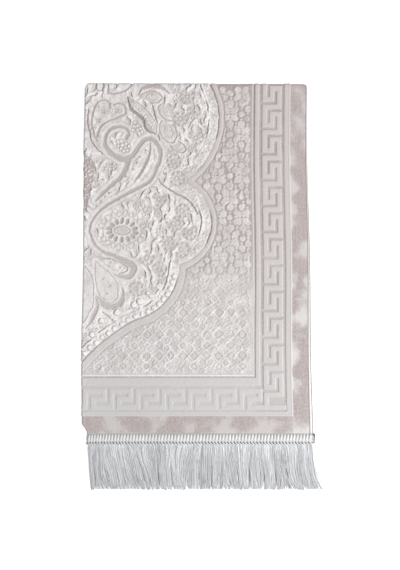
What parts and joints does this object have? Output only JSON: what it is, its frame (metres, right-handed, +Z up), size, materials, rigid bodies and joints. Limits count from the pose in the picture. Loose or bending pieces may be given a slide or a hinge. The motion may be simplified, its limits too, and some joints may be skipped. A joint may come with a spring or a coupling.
{
  "type": "prayer rug",
  "caption": "Velvet prayer rug folded lengthwise and then across, with a carved medallion and key border, bound edges, braided headings and fringed ends.",
  "frame": {"origin": "on the floor, under the middle of the folded rug's bounding box", "axes": "+Z up off the floor, +Y along the folded rug from its fringes towards the fold across it, +X from the lengthwise fold towards the bound edges"},
  "size_m": [0.354, 0.6298, 0.0197],
  "materials": {
    "velvet": "carved velvet pile, pale pinkish grey, lighter on its ridges",
    "heading": "off-white satin braid and twisted cord",
    "fringe": "silky white yarn",
    "binding": "cream overcast edging yarn"
  },
  "bodies": {
    "root": {"rug_cloth": "velvet", "heading_front": "heading", "heading_back": "heading", "fringe_front": "fringe", "fringe_back": "fringe", "edge_binding_outer": "binding", "edge_binding_inner": "binding"}
  },
  "joints": []
}
